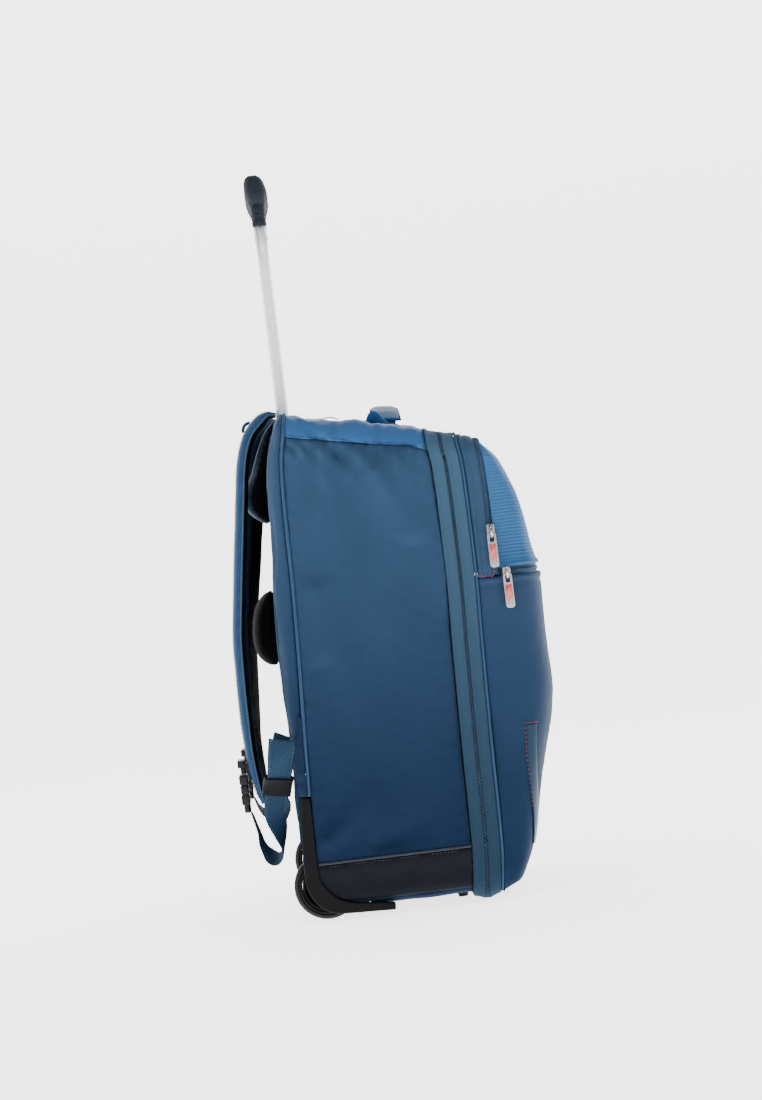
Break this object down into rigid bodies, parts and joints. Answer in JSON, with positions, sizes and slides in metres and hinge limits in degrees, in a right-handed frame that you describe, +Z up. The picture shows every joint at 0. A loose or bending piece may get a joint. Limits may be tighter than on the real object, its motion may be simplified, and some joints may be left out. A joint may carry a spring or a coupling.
{
  "type": "wheeled backpack",
  "caption": "Upright wheeled backpack with zipped front pockets, padded shoulder straps, a pull-out trolley handle, corner wheels and front feet.",
  "frame": {"origin": "middle of the object's box on the floor that the wheels and front feet stand on", "axes": "+Z up along the trolley handle, +X towards the front pockets, -Y the side with the zip pulls"},
  "size_m": [0.331, 0.3532, 0.758],
  "materials": {
    "body_cloth": "fine woven nylon, mid blue",
    "top_cloth": "shinier woven nylon, lighter blue",
    "pocket_cloth": "fine woven nylon, dark blue",
    "ribbed_cloth": "ribbed nylon, bright blue",
    "tape_cloth": "zip tape, grey blue",
    "zip_coil": "nylon coil",
    "scuff_cloth": "coated black fabric",
    "mesh_cloth": "black spacer mesh",
    "strap_cloth": "padded strap, blue face with black mesh lining",
    "webbing": "ribbed blue webbing",
    "keeper_cloth": "black webbing",
    "reflective": "grey reflective strip",
    "housing_plastic": "moulded plastic, satin black",
    "tyre_rubber": "black rubber",
    "hub_plastic": "moulded plastic, black",
    "grip_plastic": "soft-touch plastic, black",
    "tube_aluminium": "bright anodised",
    "pull_metal": "satin nickel with orange and grey stripes"
  },
  "bodies": {
    "bag": {"side_panel_near": "body_cloth", "side_panel_far": "body_cloth", "top_panel": "top_cloth", "base_panel": "body_cloth", "scuff_panel_near": "scuff_cloth", "scuff_panel_far": "scuff_cloth", "back_panel": "mesh_cloth", "piping_rear_near": "body_cloth", "piping_rear_far": "body_cloth", "piping_front": "body_cloth", "zip_tape_rear": "tape_cloth", "zip_tape_front": "tape_cloth", "zip_coil": "zip_coil", "lid_band": "pocket_cloth", "upper_pocket": "ribbed_cloth", "upper_pocket_zip": "tape_cloth", "lower_pocket": "pocket_cloth", "lower_pocket_zip": "tape_cloth", "slider_upper": "pull_metal", "slider_lower": "pull_metal", "reflective_strip_near": "reflective", "reflective_strip_far": "reflective", "carry_handle": "top_cloth", "handle_patch_near": "top_cloth", "handle_patch_far": "top_cloth", "trolley_zip": "tape_cloth", "wheel_housing_near": "housing_plastic", "wheel_housing_far": "housing_plastic", "foot_near": "housing_plastic", "foot_far": "housing_plastic", "trolley_sleeve_near": "tube_aluminium", "trolley_sleeve_far": "tube_aluminium", "strap_near": "strap_cloth", "strap_far": "strap_cloth", "strap_loop_near": "webbing", "strap_loop_far": "webbing", "yoke_pad": "mesh_cloth", "lumbar_pad": "mesh_cloth", "strap_wing_near": "body_cloth", "strap_wing_far": "body_cloth", "webbing_near": "webbing", "webbing_far": "webbing", "keeper_near": "keeper_cloth", "keeper_far": "keeper_cloth", "buckle_near": "housing_plastic", "buckle_far": "housing_plastic"},
    "trolley": {"trolley_tube_near": "tube_aluminium", "trolley_tube_far": "tube_aluminium", "grip": "grip_plastic"},
    "wheel_near": {"tyre_near": "tyre_rubber", "hub_near": "hub_plastic"},
    "wheel_far": {"tyre_far": "tyre_rubber", "hub_far": "hub_plastic"},
    "tab_upper": {"pull_tab_upper": "pull_metal"},
    "tab_lower": {"pull_tab_lower": "pull_metal"}
  },
  "joints": [
    {"name": "trolley_slide", "type": "slide", "parent": "bag", "child": "trolley", "axis": [0, 0, 1], "range_m": [-0.19, 0]},
    {"name": "wheel_near_spin", "type": "hinge", "parent": "bag", "child": "wheel_near", "pos_m": [-0.0892, -0.1456, 0.033], "axis": [0, 1, 0], "continuous": true},
    {"name": "wheel_far_spin", "type": "hinge", "parent": "bag", "child": "wheel_far", "pos_m": [-0.0892, 0.1484, 0.033], "axis": [0, 1, 0], "continuous": true},
    {"name": "tab_upper_swing", "type": "hinge", "parent": "bag", "child": "tab_upper", "pos_m": [0.1157, -0.1758, 0.367], "axis": [-1, 0, 0], "range_deg": [0, 150]},
    {"name": "tab_lower_swing", "type": "hinge", "parent": "bag", "child": "tab_lower", "pos_m": [0.1266, -0.1766, 0.325], "axis": [-1, 0, 0], "range_deg": [0, 150]}
  ]
}
